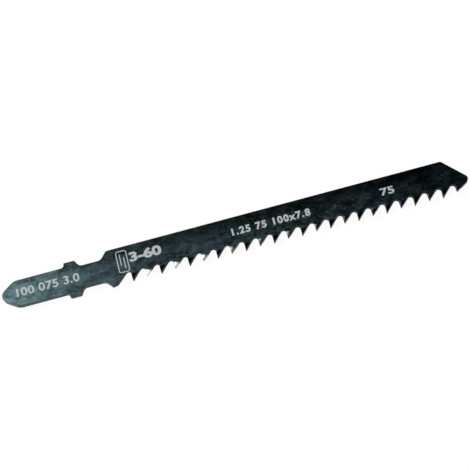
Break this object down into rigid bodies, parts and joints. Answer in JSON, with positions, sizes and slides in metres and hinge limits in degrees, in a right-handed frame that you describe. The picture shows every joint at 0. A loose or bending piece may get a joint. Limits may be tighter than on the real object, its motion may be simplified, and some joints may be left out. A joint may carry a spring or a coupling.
{
  "type": "jigsaw blade",
  "caption": "Flat steel saw blade with a lugged clamping shank, a narrow neck, a bevelled tip and coarse milled teeth set to alternate sides.",
  "frame": {"origin": "centre of the bounding box in plan, at the height of the lowest tooth tips, on which the blade lies", "axes": "+X along the blade from the nose of the shank to the tip, +Y from the teeth to the back edge, +Z through the thickness towards the printed side"},
  "size_m": [0.0988, 0.0078, 0.0021],
  "materials": {
    "blackened_steel": "teal-black oxide on rolled carbon steel strip, satin",
    "marking_ink": "pale grey printed ink, slightly worn"
  },
  "bodies": {
    "root": {"blade": "blackened_steel"}
  },
  "joints": []
}
